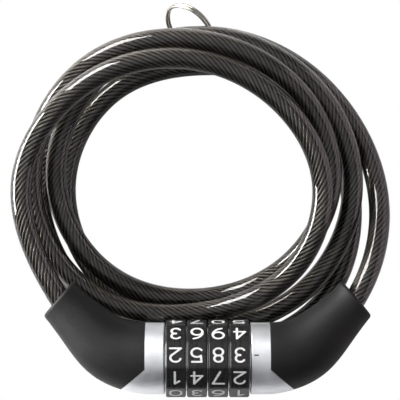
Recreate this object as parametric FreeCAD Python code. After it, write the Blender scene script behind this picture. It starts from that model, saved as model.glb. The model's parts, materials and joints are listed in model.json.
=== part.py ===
import FreeCAD, Part
import math
import os

# A self-coiling combination cable lock, closed, lying flat on its back.
# Millimetres. +Z points up from the resting plane, the lock barrel lies parallel to X on
# the -Y side, and the origin is the centre of the coil opening on the resting plane.

Vector = FreeCAD.Vector
X_AXIS = Vector(1, 0, 0)
Z_AXIS = Vector(0, 0, 1)

# ---------------------------------------------------------------- driving dimensions
BARREL_Y = -66.7
BARREL_Z = 23.5

DIAL_COUNT = 4
FACET_COUNT = 10
DIAL_PITCH = 7.95
DIAL_WIDTH = 7.55
DIAL_CORNER_R = 14.75
DIAL_CHAMFER = 0.45
DIAL_BORE_R = 11.05
FRONT_FACET_DEG = 10.0
KEYWAY_R = 0.86

DIGIT_HALF_HEIGHT = 2.5
DIGIT_HALF_WIDTH = 1.6
DIGIT_STROKE_R = 0.33
DIGIT_STRETCH = 1.27
DIGIT_DEPTH = 0.25
DIGIT_PROUD = 0.04
OPENING_CODE = (2, 5, 8, 3)

CODE_RING_R = 11.0
CODE_RING_WIDTH = 7.0
CHAMBER_R = 9.4
FLANGE_BORE_R = 7.6
FLANGE_WIDTH = 2.0
KEY_R = 0.8
NOTCH_WIDTH = 3.2
DETENT_ORBIT_R = 7.0
DETENT_SCALLOP_R = 1.08

SLEEVE_R = 7.52
SLEEVE_BORE_R = 3.5
SLEEVE_LEFT_X = -17.6
SLEEVE_RIGHT_X = 30.0
SLEEVE_SLOT_WIDTH = 2.9
SLEEVE_SLOT_END_X = 14.6
CLIP_GROOVE_R = 6.9
CLIP_R = 9.3
CLIP_WIDTH = 0.8
CLIP_LEFT_X = -16.95
CLIP_GAP_WIDTH = 8.0

SPACER_R = 12.2
SPACER_WIDTH = 0.3

BOLT_R = 3.42
BOLT_LEFT_X = -30.0
BOLT_RIGHT_X = 14.0
TOOTH_R = 9.1
TOOTH_WIDTH = 2.5
TOOTH_THICKNESS = 2.4
TOOTH_OFFSET_X = -0.1

LEAF_WIDTH = 1.6
LEAF_HALF_SPAN = 3.3
LEAF_THICKNESS = 0.3
LEAF_FOOT_R = 6.05
LEAF_CROWN_R = 7.2
LEAF_BUMP_R = 0.75
LEAF_POCKET_R = 5.9

COLLAR_R = 13.5
COLLAR_FACE_X = 16.1
COLLAR_END_X = 23.4
COLLAR_FILLET = 0.6
NOSE_RECESS_R = 10.6
NOSE_RECESS_DEPTH = 2.5
COVER_WALL = 2.2
MOUTH_FILLET = 1.2
PART_LINE = 0.1
PIN_X = 26.0
PIN_R = 1.25
PIN_HALF_LENGTH = 9.0
INDEX_LENGTH = 1.7
INDEX_WIDTH = 0.5
INDEX_DEPTH = 0.35

CABLE_R = 4.0
ROPE_R = 3.0
JACKET_BORE_R = 3.05
JACKET_INSET = 4.0
ROPE_INSET = 16.4
FERRULE_R = 4.1
FERRULE_START = 5.0
FERRULE_END = 16.5
SCREW_R = 2.0
SCREW_LENGTH = 1.7
HEX_SOCKET_R = 1.0
RUNNING_GAP = 0.05

RING_WIRE_R = 0.58
RING_PITCH = 1.2
RING_STOPS_PER_TURN = 24
RING_MEAN_R = 10.8
RING_CENTRE = Vector(-6.8, 59.1, 10.95)
RING_HEADING_DEG = 135.7
RING_LEAN = 0.565

# The elbow of the right cover, from the collar to the cable's mouth. Each section is
# (x, height above the barrel axis in Y, heading in degrees, half width, half depth).
ELBOW = (
    (COLLAR_END_X, 0.0, 0.0, 13.5, 13.5),
    (31.0, 1.3, 11.0, 13.0, 12.8),
    (39.1, 5.1, 23.0, 12.2, 11.5),
    (46.9, 12.1, 31.0, 10.5, 9.7),
    (52.5, 18.3, 39.5, 9.0, 8.2),
    (56.2, 22.9, 40.5, 8.85, 7.6),
)
MOUTH = Vector(56.2, BARREL_Y + 22.9, BARREL_Z)
EXIT_DEG = 58.0
EXIT_DIRECTION = Vector(math.cos(math.radians(EXIT_DEG)), math.sin(math.radians(EXIT_DEG)), 0)

# The lower outer corner of the cover, where the collar's metal shows: the parting line
# drops straight from the front to this height and then runs diagonally to the outline.
WEDGE_TOP = -3.2
WEDGE_RUN = 9.5
WEDGE_DROP = 8.4

# The coil, wound clockwise as seen from above, at eight places round each turn: left,
# upper left, top, upper right, right, lower right, bottom and lower left.
# Each pair is (radius from the coil's centre, height of the cable's middle).
PLACES_PER_TURN = 8
COIL = (
    ((70, 27), (56.5, 31.5), (44.5, 33), (40.2, 31.5),
     (43.1, 28), (46.5, 21.5), (49.5, 14), (61.2, 13.8)),
    ((67, 18.5), (62.8, 24.5), (52.4, 30.6), (48.2, 27.5),
     (47, 20), (44.2, 12.5), (44.8, 5.6), (51.6, 11.8)),
    ((58, 13.5), (58, 16.2), (55, 22.8), (54, 20.8),
     (55.5, 15.5), (56, 10.5), (55.5, 5), (55.8, 4.2)),
    ((55, 4.8), (50.5, 4.4), (45.6, 4.8), (50.5, 11.5),
     (55, 6.8), (64.3, 4.4), (64.8, 4.2), (65, 4.2)),
    ((65.5, 4.2), (60.5, 4.8), (56.5, 8), (57.6, 4.9), (65.2, 8)),
)


# ---------------------------------------------------------------- helpers
def save(name, shape):
    shape.exportStep("parts/" + name + ".step")


def on_axis(shape):
    """Move a shape built round the X axis to the barrel axis."""
    moved = shape.copy()
    moved.translate(Vector(0, BARREL_Y, BARREL_Z))
    return moved


def rod(radius, x_from, x_to):
    return Part.makeCylinder(radius, x_to - x_from, Vector(x_from, 0, 0), X_AXIS)


def tube(outer, inner, x_from, x_to):
    return rod(outer, x_from, x_to).cut(rod(inner, x_from - 1, x_to + 1))


def block(x_from, x_to, y_half, z_from, z_to):
    return Part.makeBox(x_to - x_from, 2 * y_half, z_to - z_from, Vector(x_from, -y_half, z_from))


def turned(shape, degrees):
    """Turn a shape about the X axis, from +Z towards +Y."""
    copy = shape.copy()
    copy.rotate(Vector(0, 0, 0), X_AXIS, -degrees)
    return copy


def mirrored(shape):
    return shape.mirror(Vector(0, 0, 0), X_AXIS)


def dial_centres():
    middle = (DIAL_COUNT - 1) / 2
    return [(k - middle) * DIAL_PITCH for k in range(DIAL_COUNT)]


# ---------------------------------------------------------------- dials
def straight(u0, v0, u1, v1):
    return Part.makeLine(Vector(u0, v0, 0), Vector(u1, v1, 0))


def bend(start, through, end):
    points = [Vector(p[0], p[1], 0) for p in (start, through, end)]
    return Part.Arc(points[0], points[1], points[2]).toShape()


def polar(u, v, radius, degrees):
    angle = math.radians(degrees)
    return (u + radius * math.cos(angle), v + radius * math.sin(angle))


def bow(u, v, radius, from_deg, to_deg):
    """A round stroke about the point (u, v)."""
    stops = [polar(u, v, radius, a) for a in (from_deg, (from_deg + to_deg) / 2, to_deg)]
    return bend(stops[0], stops[1], stops[2])


def loop(u, v, radius):
    return [[bow(u, v, radius, 90, -90)], [bow(u, v, radius, 270, 90)]]


def digit_strokes(digit):
    """The centre lines of one upright digit, as a list of open strokes."""
    h = DIGIT_HALF_HEIGHT
    w = DIGIT_HALF_WIDTH
    swan_neck = polar(0, h - 1.5, 1.5, -35)
    bowl_start = polar(0, -0.9, w, 135)
    slope = straight(0.8, h, -w, -0.9)
    six = loop(0, w - h, w) + [[bend((-w, w - h), (-0.6 * w, 0.55 * h), (0.6 * w, h))]]
    strokes = {
        0: [[bow(0, h - w, w, 180, 0), straight(w, h - w, w, w - h)],
            [bow(0, w - h, w, 0, -180), straight(-w, w - h, -w, h - w)]],
        1: [[straight(0.2, -h, 0.2, h), straight(0.2, h, -1.1, h - 1.1)]],
        2: [[bow(0, h - 1.5, 1.5, 165, -35), straight(*swan_neck, -w, -h), straight(-w, -h, w, -h)]],
        3: [[bow(-0.1, 1.2, 1.3, 150, -90)], [bow(-0.1, -1.2, 1.3, 90, -150)]],
        4: [[straight(0.8, -h, 0.8, h), slope], [slope, straight(-w, -0.9, w, -0.9)]],
        5: [[straight(w - 0.2, h, 0.3 - w, h), straight(0.3 - w, h, *bowl_start),
             bow(0, -0.9, w, 135, -145)]],
        6: six,
        7: [[straight(-w, h, w, h), straight(w, h, -0.5, -h)]],
        8: loop(0, h - 1.2, 1.2) + loop(0, 1.35 - h, 1.35),
        9: six,
    }
    return strokes[digit]


def digit_solid(digit):
    """One digit as a thin upright slab standing on z = 0, its top towards +Y."""
    slabs = []
    for stroke in digit_strokes(digit):
        wire = Part.Wire(stroke)
        face = wire.makeOffset2D(DIGIT_STROKE_R, join=0, fill=True, openResult=False)
        slabs.append(face.extrude(Vector(0, 0, DIGIT_DEPTH)))
    solid = slabs[0]
    for slab in slabs[1:]:
        solid = solid.fuse(slab)
    solid = solid.removeSplitter()
    if digit == 9:
        solid.rotate(Vector(0, 0, 0), Z_AXIS, 180)
    wider = FreeCAD.Matrix()
    wider.scale(Vector(DIGIT_STRETCH, 1, 1))
    return solid.transformGeometry(wider)


def numerals(digits, centre_x, front_digit):
    """Ten digits round one dial, read from the far side of the coil."""
    apothem = DIAL_CORNER_R * math.cos(math.pi / FACET_COUNT)
    ring = []
    for facet in range(FACET_COUNT):
        slab = digits[(front_digit + facet) % FACET_COUNT].copy()
        slab.rotate(Vector(0, 0, 0), Z_AXIS, 180)
        slab.translate(Vector(centre_x, 0, apothem + DIGIT_PROUD - DIGIT_DEPTH))
        ring.append(turned(slab, FRONT_FACET_DEG + facet * 360 / FACET_COUNT))
    return Part.makeCompound(ring)


def dial(centre_x, characters):
    """A ten-sided moulded ring with ten keyways in its bore and pockets for its digits."""
    step = 360 / FACET_COUNT
    corners = []
    for k in range(FACET_COUNT + 1):
        angle = math.radians(FRONT_FACET_DEG + (k + 0.5) * step)
        y = DIAL_CORNER_R * math.sin(angle)
        z = DIAL_CORNER_R * math.cos(angle)
        corners.append(Vector(centre_x - DIAL_WIDTH / 2, y, z))
    prism = Part.Face(Part.makePolygon(corners)).extrude(Vector(DIAL_WIDTH, 0, 0))
    body = prism.makeChamfer(DIAL_CHAMFER, prism.Edges)
    left = centre_x - DIAL_WIDTH / 2 - 1
    right = centre_x + DIAL_WIDTH / 2 + 1
    body = body.cut(rod(DIAL_BORE_R, left, right))
    for k in range(FACET_COUNT):
        groove = rod(KEYWAY_R, left, right)
        groove.translate(Vector(0, 0, DIAL_BORE_R))
        body = body.cut(turned(groove, k * step))
    return body.cut(characters)


def code_ring(centre_x):
    """The tumbler: a flange with one notch, a tooth chamber and ten detent scallops."""
    left = centre_x - CODE_RING_WIDTH / 2
    right = centre_x + CODE_RING_WIDTH / 2
    ring = tube(CODE_RING_R, CHAMBER_R, left, right)
    ring = ring.fuse(tube(CHAMBER_R + 0.5, FLANGE_BORE_R, left, left + FLANGE_WIDTH))
    for side in (0, 180):
        key = rod(KEY_R, left, right)
        key.translate(Vector(0, 0, CODE_RING_R))
        key = key.cut(rod(CODE_RING_R - 0.5, left, right))
        ring = ring.fuse(turned(key, side))
    for k in range(FACET_COUNT):
        scallop = rod(DETENT_SCALLOP_R, left - 1, left + FLANGE_WIDTH + 0.01)
        scallop.translate(Vector(0, 0, DETENT_ORBIT_R))
        ring = ring.cut(turned(scallop, k * 360 / FACET_COUNT))
    notch = block(left - 1, left + FLANGE_WIDTH + 0.01, NOTCH_WIDTH / 2, -CHAMBER_R, 0)
    return ring.cut(notch).removeSplitter()


# ---------------------------------------------------------------- barrel
def leaf_left_x(centre_x):
    return centre_x - CODE_RING_WIDTH / 2 + (FLANGE_WIDTH - LEAF_WIDTH) / 2


def barrel_sleeve():
    """The slotted tube that the dials turn on, with a pocket for each detent leaf."""
    sleeve = tube(SLEEVE_R, SLEEVE_BORE_R, SLEEVE_LEFT_X, SLEEVE_RIGHT_X)
    slot = block(SLEEVE_LEFT_X - 1, SLEEVE_SLOT_END_X, SLEEVE_SLOT_WIDTH / 2, -SLEEVE_R - 1, 0)
    sleeve = sleeve.cut(slot)
    groove_right = CLIP_LEFT_X + CLIP_WIDTH + RUNNING_GAP
    groove = tube(SLEEVE_R + 1, CLIP_GROOVE_R, CLIP_LEFT_X - RUNNING_GAP, groove_right)
    sleeve = sleeve.cut(groove)
    for centre_x in dial_centres():
        left = leaf_left_x(centre_x) - 0.1
        half_span = LEAF_HALF_SPAN + 0.2
        sleeve = sleeve.cut(block(left, left + LEAF_WIDTH + 0.2, half_span, LEAF_POCKET_R, SLEEVE_R + 1))
    return sleeve.cut(cross_hole())


def detent_leaf(centre_x):
    """A bowed leaf spring with a round bump that clicks into the tumbler's scallops."""
    left = leaf_left_x(centre_x)
    rims = []
    for inset in (0, LEAF_THICKNESS):
        ends = [Vector(left, side * LEAF_HALF_SPAN, LEAF_FOOT_R - inset / 3) for side in (-1, 1)]
        rims.append((ends[0], Vector(left, 0, LEAF_CROWN_R - inset), ends[1]))
    outer = Part.Arc(rims[0][0], rims[0][1], rims[0][2]).toShape()
    inner = Part.Arc(rims[1][0], rims[1][1], rims[1][2]).toShape()
    ends = [Part.makeLine(rims[0][k], rims[1][k]) for k in (0, 2)]
    outline = Part.Wire(Part.__sortEdges__([outer, ends[1], inner, ends[0]]))
    leaf = Part.Face(outline).extrude(Vector(LEAF_WIDTH, 0, 0))
    bump = rod(LEAF_BUMP_R, left, left + LEAF_WIDTH)
    bump.translate(Vector(0, 0, DETENT_ORBIT_R))
    return leaf.fuse(bump).removeSplitter()


def spacers():
    """Thin washers beside and between the dials, notched so that the bolt's teeth pass."""
    washers = []
    for k in range(DIAL_COUNT + 1):
        middle = (k - DIAL_COUNT / 2) * DIAL_PITCH
        left = middle - SPACER_WIDTH / 2
        right = middle + SPACER_WIDTH / 2
        washer = tube(SPACER_R, FLANGE_BORE_R, left, right)
        washers.append(washer.cut(block(left - 1, right + 1, NOTCH_WIDTH / 2, -CHAMBER_R - 0.1, 0)))
    return Part.makeCompound(washers)


def retaining_clip():
    """A C-shaped clip in the sleeve's groove, open where the teeth pass."""
    clip = tube(CLIP_R, CLIP_GROOVE_R + 0.02, CLIP_LEFT_X, CLIP_LEFT_X + CLIP_WIDTH)
    return clip.cut(block(CLIP_LEFT_X - 1, CLIP_LEFT_X + 2, CLIP_GAP_WIDTH / 2, -CLIP_R - 1, 0))


def locking_bolt():
    """A round bolt with one tooth for each dial."""
    bolt = rod(BOLT_R, BOLT_LEFT_X, BOLT_RIGHT_X)
    bolt = bolt.makeChamfer(0.5, [bolt.Edges[0], bolt.Edges[2]])
    for centre_x in dial_centres():
        left = centre_x + TOOTH_OFFSET_X - TOOTH_THICKNESS / 2
        tooth = block(left, left + TOOTH_THICKNESS, TOOTH_WIDTH / 2, -TOOTH_R, -BOLT_R / 2)
        bolt = bolt.fuse(tooth.common(rod(TOOTH_R, left - 1, left + TOOTH_THICKNESS + 1)))
    return bolt.removeSplitter().cut(mirrored(cross_hole()))


def cross_hole():
    return Part.makeCylinder(PIN_R + 0.02, 4 * COLLAR_R, Vector(PIN_X, 0, -2 * COLLAR_R), Z_AXIS)


def cross_pin():
    """The pressed pin that ties the sleeve, or the bolt, into its collar."""
    base = Vector(PIN_X, 0, -PIN_HALF_LENGTH)
    pin = Part.makeCylinder(PIN_R, 2 * PIN_HALF_LENGTH, base, Z_AXIS)
    return pin.makeChamfer(0.3, [pin.Edges[0], pin.Edges[2]])


# ---------------------------------------------------------------- collars and covers
def elbow_section(x, rise, heading, half_width, half_depth):
    """An elliptical section across the elbow, its wide way in the plane of the coil."""
    angle = math.radians(heading)
    across = Vector(-math.sin(angle), math.cos(angle), 0)
    along = Vector(math.cos(angle), math.sin(angle), 0)
    place = FreeCAD.Matrix(
        across.x * half_width, 0, along.x, x,
        across.y * half_width, 0, along.y, rise,
        0, half_depth, 0, 0,
        0, 0, 0, 1)
    circle = Part.Wire(Part.Edge(Part.Circle(Vector(0, 0, 0), Z_AXIS, 1.0)))
    return circle.transformGeometry(place)


def elbow(inset, shorten):
    """The elbow's solid, shrunk all round by inset and cut back at the mouth by shorten."""
    sections = []
    for x, rise, heading, half_width, half_depth in ELBOW[:-1]:
        sections.append(elbow_section(x, rise, heading, half_width - inset, half_depth - inset))
    x, rise, heading, half_width, half_depth = ELBOW[-1]
    angle = math.radians(heading)
    end_x = x - shorten * math.cos(angle)
    end_rise = rise - shorten * math.sin(angle)
    sections.append(elbow_section(end_x, end_rise, heading, half_width - inset, half_depth - inset))
    return Part.makeLoft(sections, True, False)


def cover_region(gap):
    """A tall prism over the part of the elbow that the plastic covers."""
    left = COLLAR_END_X + gap
    slope = WEDGE_DROP / WEDGE_RUN
    far = 60.0
    corners = [
        Vector(left, far, -far),
        Vector(left, WEDGE_TOP + gap, -far),
        Vector(left + far, WEDGE_TOP + gap - slope * far, -far),
        Vector(left + far, far, -far),
    ]
    face = Part.Face(Part.makePolygon(corners + corners[:1]))
    return face.extrude(Vector(0, 0, 2 * far))


def cable_hole(radius, start, end):
    """A straight hole down the line of the cable, from start to end below the mouth."""
    mouth = MOUTH - Vector(0, BARREL_Y, BARREL_Z)
    return Part.makeCylinder(radius, end - start, mouth - EXIT_DIRECTION * start, EXIT_DIRECTION * -1)


def cover():
    """The moulded elbow cover: a shell over the collar's core, open at both ends."""
    outside = elbow(0, 0)
    mouth_rim = max(outside.Edges, key=lambda edge: edge.CenterOfMass.x)
    shell = outside.makeFillet(MOUTH_FILLET, [mouth_rim]).common(cover_region(PART_LINE))
    shell = shell.cut(elbow(COVER_WALL - RUNNING_GAP, 3.0 - RUNNING_GAP))
    shell = shell.cut(cable_hole(CABLE_R + 0.25, -12, 8))
    return shell.cut(cable_hole(CABLE_R + 1.1, -12, 0.9))


def collar_blank():
    """The die-cast collar: a ring, the metal wedge on its outer side and a core elbow."""
    ring = rod(COLLAR_R, COLLAR_FACE_X, COLLAR_END_X)
    face_edge = [edge for edge in ring.Edges if abs(edge.BoundBox.XMax - COLLAR_FACE_X) < 0.01]
    ring = ring.makeFillet(COLLAR_FILLET, face_edge)
    outer = elbow(0, 0)
    wedge = outer.cut(cover_region(0))
    core = elbow(COVER_WALL, 3.0)
    blank = ring.fuse(wedge).fuse(core)
    blank = blank.cut(cable_hole(CABLE_R + 0.25, -12, FERRULE_END + 0.2))
    return blank.cut(screw_hole()).cut(cross_hole())


def screw_base():
    """The point on the ferrule's surface where the grub screw bears."""
    middle = (FERRULE_START + FERRULE_END) / 2
    return MOUTH - Vector(0, BARREL_Y, BARREL_Z) - EXIT_DIRECTION * middle


def screw_hole():
    return Part.makeCylinder(SCREW_R + 0.02, 20, screw_base(), Z_AXIS)


def grub_screw():
    """A hexagon-socket grub screw that clamps the ferrule."""
    base = screw_base() + Vector(0, 0, FERRULE_R + 0.01)
    screw = Part.makeCylinder(SCREW_R, SCREW_LENGTH, base, Z_AXIS)
    corners = []
    for k in range(7):
        angle = math.radians(60 * k)
        top = base + Vector(0, 0, SCREW_LENGTH)
        corners.append(top + Vector(HEX_SOCKET_R * math.cos(angle), HEX_SOCKET_R * math.sin(angle), 0))
    socket = Part.Face(Part.makePolygon(corners)).extrude(Vector(0, 0, -SCREW_LENGTH / 2))
    return screw.cut(socket)


def right_collar():
    """The head that holds the sleeve in a deep socket."""
    socket = rod(SLEEVE_R + 0.02, COLLAR_FACE_X - 1, SLEEVE_RIGHT_X + 0.05)
    return collar_blank().cut(socket).cut(index_mark())


def left_collar():
    """The plug's head: it holds the bolt and hides the clip in a shallow recess."""
    recess = rod(NOSE_RECESS_R, COLLAR_FACE_X - 1, COLLAR_FACE_X + NOSE_RECESS_DEPTH)
    socket = rod(BOLT_R + 0.02, COLLAR_FACE_X - 1, -BOLT_LEFT_X + 0.05)
    return mirrored(collar_blank().cut(recess).cut(socket))


def index_mark():
    """The painted line on the right collar that the code is read against."""
    left = COLLAR_FACE_X + 1.2
    bar = block(left, left + INDEX_LENGTH, INDEX_WIDTH / 2, COLLAR_R - INDEX_DEPTH, COLLAR_R + 1)
    bar = bar.common(rod(COLLAR_R + 0.02, left - 1, left + INDEX_LENGTH + 1))
    return turned(bar, FRONT_FACET_DEG)


def ferrule():
    """A steel sleeve crimped on the end of the rope."""
    return cable_hole(FERRULE_R, FERRULE_START, FERRULE_END).cut(cable_hole(ROPE_R + 0.06, 0, 30))


# ---------------------------------------------------------------- cable
def coil_points():
    """Points down the middle of the cable, from inside one cover to inside the other."""
    mouth_left = Vector(-MOUTH.x, MOUTH.y, MOUTH.z)
    inward_left = Vector(EXIT_DIRECTION.x, -EXIT_DIRECTION.y, 0)
    inward_right = EXIT_DIRECTION * -1
    points = [mouth_left + inward_left * ROPE_INSET, mouth_left + inward_left * JACKET_INSET, mouth_left]
    step = 2 * math.pi / PLACES_PER_TURN
    for turn in COIL:
        for place, (radius, height) in enumerate(turn):
            angle = math.pi - place * step
            points.append(Vector(radius * math.cos(angle), radius * math.sin(angle), height))
    points.append(MOUTH)
    points.append(MOUTH + inward_right * JACKET_INSET)
    points.append(MOUTH + inward_right * ROPE_INSET)
    return points


def coil_curve():
    points = coil_points()
    curve = Part.BSplineCurve()
    start = (points[1] - points[0]).normalize()
    end = (points[-1] - points[-2]).normalize()
    curve.interpolate(Points=points, InitialTangent=start, FinalTangent=end)
    return curve


def swept(path_edge, radius):
    start = path_edge.valueAt(path_edge.FirstParameter)
    tangent = path_edge.tangentAt(path_edge.FirstParameter)
    profile = Part.Wire(Part.Edge(Part.Circle(start, tangent, radius)))
    return Part.Wire(path_edge).makePipeShell([profile], True, False)


def cable_jacket(curve):
    points = coil_points()
    path = curve.toShape(curve.parameter(points[1]), curve.parameter(points[-2]))
    return swept(path, CABLE_R).cut(swept(path, JACKET_BORE_R))


def cable_core(curve):
    return swept(curve.toShape(), ROPE_R)


# ---------------------------------------------------------------- split ring
def hang_ring():
    """A two-turn split ring threaded round the rearmost cable, leaning across it."""
    stops = []
    for k in range(2 * RING_STOPS_PER_TURN + 1):
        angle = 2 * math.pi * k / RING_STOPS_PER_TURN
        height = RING_PITCH * (k / RING_STOPS_PER_TURN - 1)
        stops.append(Vector(RING_MEAN_R * math.cos(angle), RING_MEAN_R * math.sin(angle), height))
    helix = Part.BSplineCurve()
    helix.interpolate(Points=stops)
    coil = swept(helix.toShape(), RING_WIRE_R)
    heading = math.radians(RING_HEADING_DEG)
    long_way = Vector(math.cos(heading), math.sin(heading), 0)
    across = Vector(math.sin(heading), -math.cos(heading), 0)
    rise = across * RING_LEAN + Z_AXIS * math.sqrt(1 - RING_LEAN ** 2)
    normal = long_way.cross(rise)
    coil.Placement = FreeCAD.Placement(FreeCAD.Matrix(
        long_way.x, rise.x, normal.x, RING_CENTRE.x,
        long_way.y, rise.y, normal.y, RING_CENTRE.y,
        long_way.z, rise.z, normal.z, RING_CENTRE.z,
        0, 0, 0, 1)).multiply(coil.Placement)
    return coil


# ---------------------------------------------------------------- the assembly
def main():
    os.makedirs("parts", exist_ok=True)
    digits = [digit_solid(digit) for digit in range(FACET_COUNT)]
    for k, centre_x in enumerate(dial_centres()):
        name = "dial_" + str(k + 1)
        characters = numerals(digits, centre_x, OPENING_CODE[k])
        save(name, on_axis(dial(centre_x, characters)))
        save(name + "_numerals", on_axis(characters))
        save("code_ring_" + str(k + 1), on_axis(code_ring(centre_x)))
        save("detent_leaf_" + str(k + 1), on_axis(detent_leaf(centre_x)))
    save("barrel_sleeve", on_axis(barrel_sleeve()))
    save("dial_spacers", on_axis(spacers()))
    save("retaining_clip", on_axis(retaining_clip()))
    save("locking_bolt", on_axis(locking_bolt()))
    save("barrel_pin", on_axis(cross_pin()))
    save("bolt_pin", on_axis(mirrored(cross_pin())))
    save("right_collar", on_axis(right_collar()))
    save("left_collar", on_axis(left_collar()))
    save("index_mark", on_axis(index_mark()))
    for side, place in (("right", lambda shape: shape), ("left", mirrored)):
        save(side + "_cover", on_axis(place(cover())))
        save(side + "_ferrule", on_axis(place(ferrule())))
        save(side + "_grub_screw", on_axis(place(grub_screw())))
    curve = coil_curve()
    save("cable_jacket", cable_jacket(curve))
    save("cable_core", cable_core(curve))
    save("hang_ring", hang_ring())


main()
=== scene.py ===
import json
import math

import bpy
import numpy as np
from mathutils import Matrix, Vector


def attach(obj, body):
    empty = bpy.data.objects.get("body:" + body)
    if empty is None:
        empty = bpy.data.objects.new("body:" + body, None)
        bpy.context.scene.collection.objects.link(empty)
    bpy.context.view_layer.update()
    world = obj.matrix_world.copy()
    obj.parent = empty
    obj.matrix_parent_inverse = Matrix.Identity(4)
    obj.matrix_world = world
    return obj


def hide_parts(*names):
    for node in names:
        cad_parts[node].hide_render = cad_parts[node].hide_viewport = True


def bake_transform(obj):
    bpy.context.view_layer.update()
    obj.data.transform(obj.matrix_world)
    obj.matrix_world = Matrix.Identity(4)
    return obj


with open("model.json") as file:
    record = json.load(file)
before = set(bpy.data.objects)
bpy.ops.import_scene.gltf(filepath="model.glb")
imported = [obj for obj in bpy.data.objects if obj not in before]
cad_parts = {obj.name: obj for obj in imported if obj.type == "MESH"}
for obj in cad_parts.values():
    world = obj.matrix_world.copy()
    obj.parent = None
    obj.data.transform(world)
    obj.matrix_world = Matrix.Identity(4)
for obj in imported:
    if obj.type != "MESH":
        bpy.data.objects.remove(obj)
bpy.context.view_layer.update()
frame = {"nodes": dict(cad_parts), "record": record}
nodes = frame["nodes"]

# ---------------------------------------------------------------- the cable's path, in mm
# Lengths are in mm, except in materials, lights and the camera's place, which use metres.
MM_PER_M = 1000
MOUTH = np.array([56.2, -43.8, 23.5])    # where the cable leaves the right cover
EXIT_DEG = 58.0
JACKET_INSET = 4.0
ROPE_INSET = 16.4
JACKET_R = 4.0
BORE_R = 3.05
ROPE_R = 3.0

# Radius from the coil's centre and height of the cable's middle at eight places round
# each turn, clockwise from the left. part.py has the same table.
COIL = (
    ((70, 27), (56.5, 31.5), (44.5, 33), (40.2, 31.5),
     (43.1, 28), (46.5, 21.5), (49.5, 14), (61.2, 13.8)),
    ((67, 18.5), (62.8, 24.5), (52.4, 30.6), (48.2, 27.5),
     (47, 20), (44.2, 12.5), (44.8, 5.6), (51.6, 11.8)),
    ((58, 13.5), (58, 16.2), (55, 22.8), (54, 20.8),
     (55.5, 15.5), (56, 10.5), (55.5, 5), (55.8, 4.2)),
    ((55, 4.8), (50.5, 4.4), (45.6, 4.8), (50.5, 11.5),
     (55, 6.8), (64.3, 4.4), (64.8, 4.2), (65, 4.2)),
    ((65.5, 4.2), (60.5, 4.8), (56.5, 8), (57.6, 4.9), (65.2, 8)),
)
PLACES_PER_TURN = 8

# Places in the list of knots: three on the way out of the left cover come before the coil.
JACKET_START_KNOT = 1
FIRST_TOP_KNOT = 5
JACKET_END_KNOT = -2

PATH_POINTS_PER_GAP = 200
TANGENT_REACH = 0.2


def cable_knots():
    """The points the cable runs through, from inside one cover to inside the other."""
    exit_angle = math.radians(EXIT_DEG)
    right_out = np.array([math.cos(exit_angle), math.sin(exit_angle), 0])
    left_in = right_out * [1, -1, 1]
    left_mouth = MOUTH * [-1, 1, 1]
    knots = [left_mouth + left_in * ROPE_INSET, left_mouth + left_in * JACKET_INSET, left_mouth]
    for turn in COIL:
        for place, (radius, height) in enumerate(turn):
            angle = math.pi - place * math.tau / PLACES_PER_TURN
            knots.append(np.array([radius * math.cos(angle), radius * math.sin(angle), height]))
    knots += [MOUTH, MOUTH - right_out * JACKET_INSET, MOUTH - right_out * ROPE_INSET]
    return np.array(knots)


def smooth_path(knots):
    """Twice-smooth cubic through the knots: returns fine points on it and each knot's index."""
    gaps = np.linalg.norm(np.diff(knots, axis=0), axis=1)
    count = len(knots)
    system = np.zeros((count, count))
    target = np.zeros((count, 3))
    system[0, 0] = system[-1, -1] = 1
    target[0] = (knots[1] - knots[0]) / gaps[0]
    target[-1] = (knots[-1] - knots[-2]) / gaps[-1]
    for i in range(1, count - 1):
        before, after = gaps[i - 1], gaps[i]
        system[i, i - 1:i + 2] = after, 2 * (before + after), before
        slope_in = (knots[i] - knots[i - 1]) / before
        slope_out = (knots[i + 1] - knots[i]) / after
        target[i] = 3 * (after * slope_in + before * slope_out)
    slopes = np.linalg.solve(system, target)
    points, starts = [], []
    t = np.linspace(0, 1, PATH_POINTS_PER_GAP, endpoint=False)[:, None]
    for i, gap in enumerate(gaps):
        starts.append(i * PATH_POINTS_PER_GAP)
        points.append(
            (2 * t ** 3 - 3 * t ** 2 + 1) * knots[i] + (t ** 3 - 2 * t ** 2 + t) * gap * slopes[i]
            + (3 * t ** 2 - 2 * t ** 3) * knots[i + 1] + (t ** 3 - t ** 2) * gap * slopes[i + 1])
    points.append(knots[-1:])
    starts.append(len(gaps) * PATH_POINTS_PER_GAP)
    return np.vstack(points), starts


knots = cable_knots()
path, knot_index = smooth_path(knots)
path_length = np.concatenate([[0], np.cumsum(np.linalg.norm(np.diff(path, axis=0), axis=1))])


def along_path(start, end, step):
    """Evenly spaced lengths, points and directions on the path between two lengths."""
    lengths = np.linspace(start, end, int(round((end - start) / step)) + 1)

    def points_at(where):
        return np.stack([np.interp(where, path_length, path[:, k]) for k in range(3)], 1)

    direction = points_at(lengths + TANGENT_REACH) - points_at(lengths - TANGENT_REACH)
    return lengths, points_at(lengths), direction / np.linalg.norm(direction, axis=1)[:, None]


def upright(direction):
    """Two unit vectors across each direction, the second as near to upward as it can be."""
    side = np.cross(direction, [0, 0, 1.0])
    side /= np.linalg.norm(side, axis=1)[:, None]
    return side, np.cross(side, direction)


def spokes(angle, side, up):
    """Unit vectors at each angle round the path, for every point on it."""
    return np.cos(angle)[..., None] * side[:, None] + np.sin(angle)[..., None] * up[:, None]


# ---------------------------------------------------------------- mesh helpers
LAY_UV = "Lay"


def make_mesh(name, points, faces, material, smooth=True):
    """A mesh object from points in mm."""
    mesh = bpy.data.meshes.new(name)
    mesh.from_pydata((np.asarray(points) / MM_PER_M).tolist(), [], faces)
    mesh.materials.append(material)
    if smooth:
        mesh.shade_smooth()
    piece = bpy.data.objects.new(name, mesh)
    bpy.context.scene.collection.objects.link(piece)
    return piece


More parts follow.
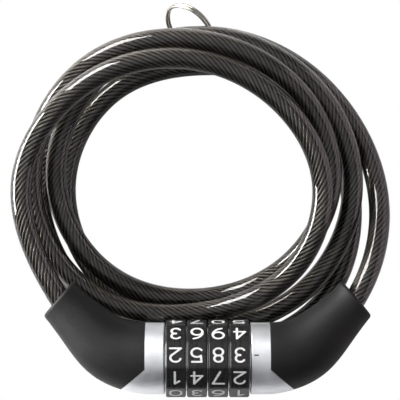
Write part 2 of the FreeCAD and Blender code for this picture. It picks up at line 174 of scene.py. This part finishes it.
def ring_faces(first, second, count):
    """Quads that join two rings of points numbered from first and from second."""
    faces = []
    for k in range(count):
        after = (k + 1) % count
        faces.append((first + k, second + k, second + after, first + after))
    return faces


def set_uv(mesh, corner_uv):
    """Gives the mesh the UV layer that the rope's material reads."""
    layer = mesh.uv_layers.new(name=LAY_UV)
    layer.data.foreach_set("uv", np.asarray(corner_uv, np.float32).ravel())


# ---------------------------------------------------------------- materials
class Finish:
    """A node material built step by step."""

    def __init__(self, name):
        self.material = bpy.data.materials.new(name)
        self.material.use_nodes = True
        self.tree = self.material.node_tree
        self.tree.nodes.clear()
        self.output = self.tree.nodes.new("ShaderNodeOutputMaterial")
        self.place = self.add("TexCoord").outputs["Object"]

    def add(self, kind, sockets=None, **settings):
        """Adds a shader node. A socket takes a number, a colour or another node's output."""
        node = self.tree.nodes.new("ShaderNode" + kind)
        for key, value in settings.items():
            setattr(node, key, value)
        for key, value in (sockets or {}).items():
            if isinstance(value, bpy.types.NodeSocket):
                self.tree.links.new(value, node.inputs[key])
            else:
                node.inputs[key].default_value = value
        return node

    def noise(self, scale, detail=3.0, rough=0.55, stretch=None):
        """Noise of scale features per metre, drawn out along the axes where stretch is small."""
        place = self.place
        if stretch:
            place = self.add("Mapping", {"Vector": place, "Scale": stretch}).outputs[0]
        return self.add("TexNoise", {"Vector": place, "Scale": scale, "Detail": detail,
                                     "Roughness": rough}).outputs["Fac"]

    def spread(self, value, low, high, to_low, to_high):
        """Maps a value's range to another, without running past its ends."""
        return self.add("MapRange", {"Value": value, "From Min": low, "From Max": high,
                                     "To Min": to_low, "To Max": to_high}).outputs["Result"]

    def math(self, operation, a, b=0.0):
        """One arithmetic node on two values."""
        return self.add("Math", {0: a, 1: b}, operation=operation).outputs[0]

    def mix(self, share, a, b):
        """Blends two colours."""
        sockets = {"Factor": share, "A": a, "B": b}
        return self.add("Mix", sockets, data_type="RGBA").outputs["Result"]

    def bump(self, height, strength, distance):
        """A normal raised by a height field, with the distance in metres."""
        sockets = {"Height": height, "Strength": strength, "Distance": distance}
        return self.add("Bump", sockets).outputs[0]

    def edges(self, radius):
        """Near 1 on the object's edges and 0 on its flats."""
        soft = self.add("Bevel", {"Radius": radius}, samples=4).outputs[0]
        sharp = self.add("NewGeometry").outputs["Normal"]
        both = {0: soft, 1: sharp}
        agree = self.add("VectorMath", both, operation="DOT_PRODUCT").outputs["Value"]
        return self.spread(self.math("SUBTRACT", 1.0, agree), 0.02, 0.35, 0.0, 1.0)

    def surface(self, shader):
        """Makes the shader the material's surface, and returns the material."""
        self.tree.links.new(shader, self.output.inputs["Surface"])
        return self.material

    def principled(self, **sockets):
        """A principled shader, with short names for the sockets that are used here."""
        names = {"base": "Base Color", "metal": "Metallic", "rough": "Roughness",
                 "normal": "Normal", "spec": "Specular IOR Level", "ior": "IOR",
                 "clear": "Transmission Weight"}
        return self.add("BsdfPrincipled", {names[k]: v for k, v in sockets.items()}).outputs[0]


def grey(value, warm=0.0):
    """A grey, made warmer where warm is above 0 and cooler where it is below."""
    return (value * (1 + warm), value, value * (1 - warm), 1.0)


def soft_touch():
    """Rubbery black skin: fine pebble, a broad soft sheen, a few rubbed, paler places and a
    painted highlight along its edges.
    """
    f = Finish("cover_softtouch")
    pebble = f.noise(2600, 2.5)
    rub = f.spread(f.noise(55, 4.0), 0.5, 0.75, 0.0, 1.0)
    # Painted highlight: paler colour along every edge, uneven in strength.
    edge_highlight_paint = f.math("MULTIPLY", f.edges(0.0006), f.spread(f.noise(420, 3.0), 0.35, 0.65, 0.3, 1.0))
    base = f.mix(rub, grey(0.009), grey(0.015))
    base = f.mix(edge_highlight_paint, base, grey(0.045))
    rough = f.spread(f.noise(170, 4.0), 0.3, 0.7, 0.46, 0.56)
    normal = f.bump(pebble, 0.8, 0.00016)
    return f.surface(f.principled(base=base, rough=rough, normal=normal, spec=0.22))


def dial_plastic():
    """Hard black plastic: faint flow marks, handling scratches and a painted highlight along its
    edges, uneven in strength.
    """
    f = Finish("dial_plastic")
    flow = f.noise(240, 4.0, stretch=(3.0, 1.0, 1.0))
    scratch = f.spread(f.noise(900, 5.0, 0.7, stretch=(0.12, 1.0, 1.0)), 0.62, 0.74, 0.0, 1.0)
    # Painted highlight: paler colour along every facet edge, uneven in strength.
    edge = f.math("MULTIPLY", f.edges(0.0003), f.spread(f.noise(1500, 3.0), 0.3, 0.7, 0.4, 1.0))
    base = f.mix(f.spread(flow, 0.3, 0.7, 0.0, 1.0), grey(0.010), grey(0.017))
    base = f.mix(f.math("MULTIPLY", scratch, 0.35), base, grey(0.07))
    base = f.mix(f.math("MULTIPLY", edge, 0.6), base, grey(0.075))
    rough = f.math("ADD", f.spread(flow, 0.3, 0.7, 0.24, 0.33), f.math("MULTIPLY", scratch, 0.12))
    normal = f.bump(f.noise(3600, 2.0), 0.10, 0.00005)
    return f.surface(f.principled(base=base, rough=rough, normal=normal, spec=0.36))


def numeral_white():
    """White second-shot plastic, a little greyed in random patches."""
    f = Finish("numerals_white")
    grime = f.spread(f.noise(1400, 4.0), 0.35, 0.7, 0.0, 1.0)
    base = f.mix(grime, grey(0.72, 0.01), grey(0.50, 0.02))
    normal = f.bump(f.noise(5200, 2.0), 0.08, 0.00005)
    rough = f.spread(grime, 0.0, 1.0, 0.42, 0.58)
    return f.surface(f.principled(base=base, rough=rough, normal=normal))


def satin_metal(name, tone, warm, low, high, grain, stretch):
    """Plated metal with a directional grain, cloudy roughness and a highlight painted along its
    edges.

    Its roughness runs from low to high. The grain is in streaks per metre, drawn out along
    the axes where stretch is small.
    """
    f = Finish(name)
    streak = f.noise(grain, 5.0, 0.7, stretch=stretch)
    cloud = f.noise(150, 4.0)
    # Painted highlight: the colour is paler along every edge.
    edge = f.math("MULTIPLY", f.edges(0.0004), 0.7)
    base = f.mix(f.spread(cloud, 0.3, 0.7, 0.0, 1.0), grey(tone * 0.9, warm), grey(tone, warm))
    base = f.mix(f.spread(streak, 0.55, 0.75, 0.0, 0.35), base, grey(tone * 0.62, warm))
    base = f.mix(edge, base, grey(min(tone * 1.18, 0.95), warm))
    rough = f.math("ADD", f.spread(cloud, 0.3, 0.7, low, high),
                   f.spread(streak, 0.4, 0.8, -0.03, 0.06))
    normal = f.bump(streak, 0.10, 0.00004)
    return f.surface(f.principled(base=base, metal=1.0, rough=rough, normal=normal))


def paint_fill():
    """Black paint in the index groove, with a chipped, dusty surface."""
    f = Finish("index_paint")
    chip = f.spread(f.noise(3000, 4.0), 0.5, 0.7, 0.0, 1.0)
    base = f.mix(chip, grey(0.025), grey(0.06))
    return f.surface(f.principled(base=base, rough=f.spread(chip, 0.0, 1.0, 0.4, 0.65),
                                  normal=f.bump(chip, 0.2, 0.00004)))


def wire_rope():
    """Laid steel wires: each strand's own fine wires run along it, with painted shade between the
    wires and darker painted shade in the grooves between strands.
    """
    f = Finish("wire_rope")
    lay = f.add("SeparateXYZ", {0: f.add("UVMap", uv_map=LAY_UV).outputs[0]})
    across, depth = lay.outputs[0], lay.outputs[1]
    wires = f.math("ABSOLUTE", f.math("SINE", f.math("MULTIPLY", across, math.pi)))
    crown = f.math("POWER", wires, 0.5)
    groove = f.spread(depth, 0.4, 1.0, 0.0, 1.0)
    tarnish = f.spread(f.noise(90, 3.0), 0.35, 0.7, 0.0, 1.0)
    bright = f.mix(tarnish, (0.165, 0.150, 0.138, 1), (0.084, 0.078, 0.073, 1))
    # Painted shade: the colour goes dark between the wires, and darkest in the grooves between
    # strands where the depth is low.
    base = f.mix(crown, (0.02, 0.019, 0.018, 1), bright)
    base = f.mix(groove, (0.006, 0.0056, 0.0052, 1), base)
    rough = f.spread(tarnish, 0.0, 1.0, 0.31, 0.40)
    normal = f.bump(crown, 0.4, 0.0001)
    return f.surface(f.principled(base=base, metal=0.9, rough=rough, normal=normal))


def smoke_jacket():
    """Smoke-coloured clear vinyl that magnifies the rope inside it and has a wet gloss."""
    f = Finish("jacket_pvc")
    haze = f.spread(f.noise(300, 5.0, 0.65), 0.35, 0.75, 0.0, 1.0)
    scuff = f.spread(f.noise(1300, 5.0, 0.7, stretch=(1.0, 1.0, 0.4)), 0.62, 0.76, 0.0, 1.0)
    normal = f.bump(f.noise(60, 2.0), 0.22, 0.0008)
    rough = f.math("ADD", f.spread(haze, 0.0, 1.0, 0.04, 0.08), f.math("MULTIPLY", scuff, 0.06))
    base = f.mix(haze, (0.64, 0.63, 0.62, 1), (0.48, 0.47, 0.465, 1))
    vinyl = f.principled(base=base, rough=rough, normal=normal, ior=1.5, clear=1.0)
    lamps = f.add("BsdfTransparent", {"Color": (0.80, 0.80, 0.78, 1)}).outputs[0]
    shadow = f.add("LightPath").outputs["Is Shadow Ray"]
    return f.surface(f.add("MixShader", {0: shadow, 1: vinyl, 2: lamps}).outputs[0])


def jacket_bore():
    """The inner wall of the jacket, wetted by the rope, so that it bends no light."""
    f = Finish("jacket_bore")
    tint = f.mix(f.noise(300, 3.0), (0.90, 0.90, 0.88, 1), (0.96, 0.96, 0.94, 1))
    return f.surface(f.add("BsdfTransparent", {"Color": tint}).outputs[0])


def nickel():
    """Bright nickel plating, slightly yellow, with fine handling marks."""
    f = Finish("ring_nickel")
    marks = f.spread(f.noise(2600, 5.0, 0.7), 0.55, 0.75, 0.0, 1.0)
    base = f.mix(f.noise(180, 3.0), (0.34, 0.32, 0.28, 1), (0.46, 0.44, 0.39, 1))
    base = f.mix(f.math("MULTIPLY", marks, 0.4), base, (0.20, 0.19, 0.17, 1))
    rough = f.spread(marks, 0.0, 1.0, 0.20, 0.38)
    return f.surface(f.principled(base=base, metal=1.0, rough=rough,
                                  normal=f.bump(marks, 0.15, 0.00003)))


finishes = {
    "cover_softtouch": soft_touch(),
    "dial_plastic": dial_plastic(),
    "numerals_white": numeral_white(),
    "index_paint": paint_fill(),
    "ring_nickel": nickel(),
    "collar_satin": satin_metal("collar_satin", 0.89, -0.018, 0.46, 0.54, 700, (0.15, 1.0, 1.0)),
    "sleeve_zinc": satin_metal("sleeve_zinc", 0.58, 0.01, 0.32, 0.44, 900, (1.0, 0.2, 0.2)),
    "bolt_steel": satin_metal("bolt_steel", 0.60, 0.0, 0.22, 0.34, 900, (1.0, 0.15, 0.15)),
    "pin_steel": satin_metal("pin_steel", 0.55, 0.0, 0.20, 0.30, 1200, (1.0, 1.0, 0.2)),
    "spacer_steel": satin_metal("spacer_steel", 0.60, 0.0, 0.25, 0.35, 1400, (1.0, 1.0, 1.0)),
    "spring_steel": satin_metal("spring_steel", 0.46, 0.02, 0.22, 0.32, 1500, (0.3, 1.0, 1.0)),
    "code_ring_zinc": satin_metal("code_ring_zinc", 0.52, 0.01, 0.42, 0.55, 1100, (1.0, 1.0, 1.0)),
    "ferrule_steel": satin_metal("ferrule_steel", 0.55, 0.0, 0.30, 0.42, 1000, (1.0, 1.0, 1.0)),
    "screw_steel": satin_metal("screw_steel", 0.16, 0.0, 0.34, 0.46, 1300, (1.0, 1.0, 1.0)),
    "wire_rope": wire_rope(),
    "jacket_pvc": smoke_jacket(),
}
bore_finish = jacket_bore()

slots = {part["node"]: part["material_slot"] for part in frame["record"]["subparts"]}
for name, node in nodes.items():
    node.data.materials.clear()
    node.data.materials.append(finishes[slots[name]])

# ---------------------------------------------------------------- cable: jacket and rope
JACKET_SIDES = 40
STRANDS = 12
STRAND_R = 0.62
STRAND_ORBIT_R = ROPE_R - STRAND_R
POINTS_PER_STRAND = 5
WIRES_ACROSS = 3
LAY_LENGTH = 30.0          # length of one full turn of a strand round the rope
WIRE_DRIFT = 0.35          # wires crossed for each mm along a strand, since they run aslant
CAP_UV = (0, 0.3)
JACKET_STEP = 2.0
ROPE_STEP = 0.95
BORE_SLOT = 1              # the bore's place among the jacket's materials


def jacket_piece(name, start, end):
    """Outer wall and bore of the jacket, closed by a flat face where the jacket ends."""
    lengths, middle, direction = along_path(start, end, JACKET_STEP)
    side, up = upright(direction)
    angle = np.linspace(0, 2 * np.pi, JACKET_SIDES, endpoint=False)
    spoke = spokes(angle[None], side, up)
    walls = [(middle[:, None] + radius * spoke).reshape(-1, 3) for radius in (JACKET_R, BORE_R)]
    count = len(lengths)
    inner = count * JACKET_SIDES
    faces = []
    for i in range(count - 1):
        a, b = i * JACKET_SIDES, (i + 1) * JACKET_SIDES
        faces += ring_faces(a, b, JACKET_SIDES)
    outer_faces = len(faces)
    for i in range(count - 1):
        a, b = i * JACKET_SIDES, (i + 1) * JACKET_SIDES
        faces += ring_faces(inner + b, inner + a, JACKET_SIDES)
    bore_faces = len(faces)
    if start == jacket_start:
        faces += ring_faces(inner, 0, JACKET_SIDES)
    if end == jacket_end:
        last = (count - 1) * JACKET_SIDES
        faces += ring_faces(last, inner + last, JACKET_SIDES)
    piece = make_mesh(name, np.vstack(walls), faces, finishes["jacket_pvc"])
    piece.data.materials.append(bore_finish)
    for polygon in piece.data.polygons[outer_faces:bore_faces]:
        polygon.material_index = BORE_SLOT
    for polygon in piece.data.polygons[bore_faces:]:
        polygon.use_smooth = False
    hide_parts("cable_jacket")
    return piece


def rope_piece(name, start, end):
    """Twelve strands laid round a core, as one lobed section that twists along the path."""
    lengths, middle, direction = along_path(start, end, ROPE_STEP)
    side, up = upright(direction)
    sides = STRANDS * POINTS_PER_STRAND
    offset = (np.arange(POINTS_PER_STRAND) / POINTS_PER_STRAND - 0.5) * 2 * np.pi / STRANDS
    aside = STRAND_ORBIT_R * np.sin(offset)
    reach = STRAND_ORBIT_R * np.cos(offset)
    reach = reach + np.sqrt(np.maximum(STRAND_R ** 2 - aside ** 2, 0))
    reach = np.tile(reach, STRANDS)
    angle = np.arange(sides) * 2 * np.pi / sides
    twist = 2 * np.pi * lengths[:, None] / LAY_LENGTH
    turned = angle[None] - twist
    spoke = spokes(turned, side, up)
    points = (middle[:, None] + reach[None, :, None] * spoke).reshape(-1, 3)
    faces = []
    for i in range(len(lengths) - 1):
        faces += ring_faces(i * sides, (i + 1) * sides, sides)
    rings = len(faces)
    faces.append(tuple(range(sides)))
    faces.append(tuple(range((len(lengths) - 1) * sides, len(lengths) * sides))[::-1])
    piece = make_mesh(name, points, faces, finishes["wire_rope"])
    for polygon in piece.data.polygons[rings:]:
        polygon.use_smooth = False
    rims = {edge for polygon in piece.data.polygons[rings:] for edge in polygon.edge_keys}
    for edge in piece.data.edges:
        edge.use_edge_sharp = edge.key in rims
    wires = np.linspace(0, WIRES_ACROSS, POINTS_PER_STRAND + 1)
    heights = np.append(reach[:POINTS_PER_STRAND], reach[0])
    heights = (heights - heights.min()) / (heights.max() - heights.min())
    uv = []
    for i in range(len(lengths) - 1):
        near, far = lengths[i] * WIRE_DRIFT, lengths[i + 1] * WIRE_DRIFT
        for k in range(sides):
            m = k % POINTS_PER_STRAND
            uv += [(wires[m] + near, heights[m]), (wires[m] + far, heights[m]),
                   (wires[m + 1] + far, heights[m + 1]), (wires[m + 1] + near, heights[m + 1])]
    uv += [CAP_UV] * (2 * sides)
    set_uv(piece.data, uv)
    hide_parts("cable_core")
    return piece


# The cable is split at the first top. The plug's side, between the plug and there, keeps its
# place; the coil's side goes with the lock's body.
jacket_start = path_length[knot_index[JACKET_START_KNOT]]
jacket_end = path_length[knot_index[JACKET_END_KNOT]]
rope_end = path_length[-1]
top_at = path_length[knot_index[FIRST_TOP_KNOT]]
jacket_plug = jacket_piece("jacket_plug_side", jacket_start, top_at)
jacket_rest = jacket_piece("jacket_coil", top_at, jacket_end)
rope_plug = rope_piece("rope_plug_side", 0.0, top_at)
rope_rest = rope_piece("rope_coil", top_at, rope_end)
for piece in (jacket_plug, rope_plug):
    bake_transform(piece)
for piece in (jacket_rest, rope_rest):
    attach(piece, "lock_body")


# ---------------------------------------------------------------- stage, lights, camera
FLOOR_HALF = 3000
FLOOR_HEIGHT = -0.2
FILM_WIDTH_MM = 36
LENS_MM = 161.05
CAMERA_AT = (-0.00285, -0.00684, 0.700)
CLIP_FROM, CLIP_TO = 0.01, 20
CLEAR_BOUNCES = 32    # enough for light to pass through every layer of jacket


def stage_floor():
    """A pale floor. The camera sees it as plain white, as the photograph's background is."""
    f = Finish("floor_white")
    speck = f.mix(f.noise(9, 2.0), grey(0.80), grey(0.84))
    paper = f.add("BsdfDiffuse", {"Color": speck}).outputs[0]
    lit = f.add("Emission", {"Color": (1, 1, 1, 1), "Strength": 1.0}).outputs[0]
    seen = f.add("LightPath").outputs["Is Camera Ray"]
    f.surface(f.add("MixShader", {0: seen, 1: paper, 2: lit}).outputs[0])
    signs = ((-1, -1), (1, -1), (1, 1), (-1, 1))
    corners = [(x * FLOOR_HALF, y * FLOOR_HALF, FLOOR_HEIGHT) for x, y in signs]
    floor = make_mesh("floor", corners, [(0, 1, 2, 3)], f.material, smooth=False)


def softbox(name, azimuth, elevation, distance, width, height, brightness, colour):
    """A rectangular light facing the coil, placed by its bearing and height in degrees."""
    a, e = math.radians(azimuth), math.radians(elevation)
    place = Vector((math.cos(a) * math.cos(e), math.sin(a) * math.cos(e), math.sin(e))) * distance
    data = bpy.data.lights.new(name, "AREA")
    data.shape = "RECTANGLE"
    data.size, data.size_y = width, height
    data.energy = brightness * math.pi * width * height
    data.color = colour
    light = bpy.data.objects.new(name, data)
    light.location = place
    light.rotation_mode = "QUATERNION"
    light.rotation_quaternion = place.to_track_quat("Z", "Y")
    light.visible_camera = False
    bpy.context.scene.collection.objects.link(light)


stage_floor()
softbox("window_left", 172, 13, 0.9, 0.75, 0.32, 33.0, (1.0, 1.0, 1.0))
softbox("window_upper_left", 129, 30, 0.9, 0.28, 0.50, 19.0, (1.0, 1.0, 1.0))
softbox("fill_right", 8, 20, 1.0, 1.3, 0.60, 1.4, (1.0, 0.84, 0.92))
softbox("overhead", 100, 82, 1.1, 1.5, 1.7, 0.54, (1.0, 1.0, 1.0))

world = bpy.data.worlds.new("studio")
bpy.context.scene.world = world
world.use_nodes = True
tree = world.node_tree
tree.nodes.clear()


def sky(colour, strength):
    """A background shader of one colour."""
    node = tree.nodes.new("ShaderNodeBackground")
    node.inputs["Color"].default_value = colour
    node.inputs["Strength"].default_value = strength
    return node


# The camera sees white round the floor, and the lock is lit by a dim, slightly blue room.
dim = sky((0.9, 0.92, 1.0, 1), 0.10)
white = sky((1, 1, 1, 1), 1.0)
choose = tree.nodes.new("ShaderNodeMixShader")
rays = tree.nodes.new("ShaderNodeLightPath")
output = tree.nodes.new("ShaderNodeOutputWorld")
tree.links.new(rays.outputs["Is Camera Ray"], choose.inputs[0])
tree.links.new(dim.outputs[0], choose.inputs[1])
tree.links.new(white.outputs[0], choose.inputs[2])
tree.links.new(choose.outputs[0], output.inputs["Surface"])

camera_data = bpy.data.cameras.new("camera")
camera_data.sensor_width = FILM_WIDTH_MM
camera_data.lens = LENS_MM
camera_data.clip_start, camera_data.clip_end = CLIP_FROM, CLIP_TO
camera = bpy.data.objects.new("camera", camera_data)
camera.location = CAMERA_AT
bpy.context.scene.collection.objects.link(camera)
bpy.context.scene.camera = camera
bpy.context.scene.view_settings.view_transform = "Standard"
bpy.context.scene.cycles.transparent_max_bounces = CLEAR_BOUNCES
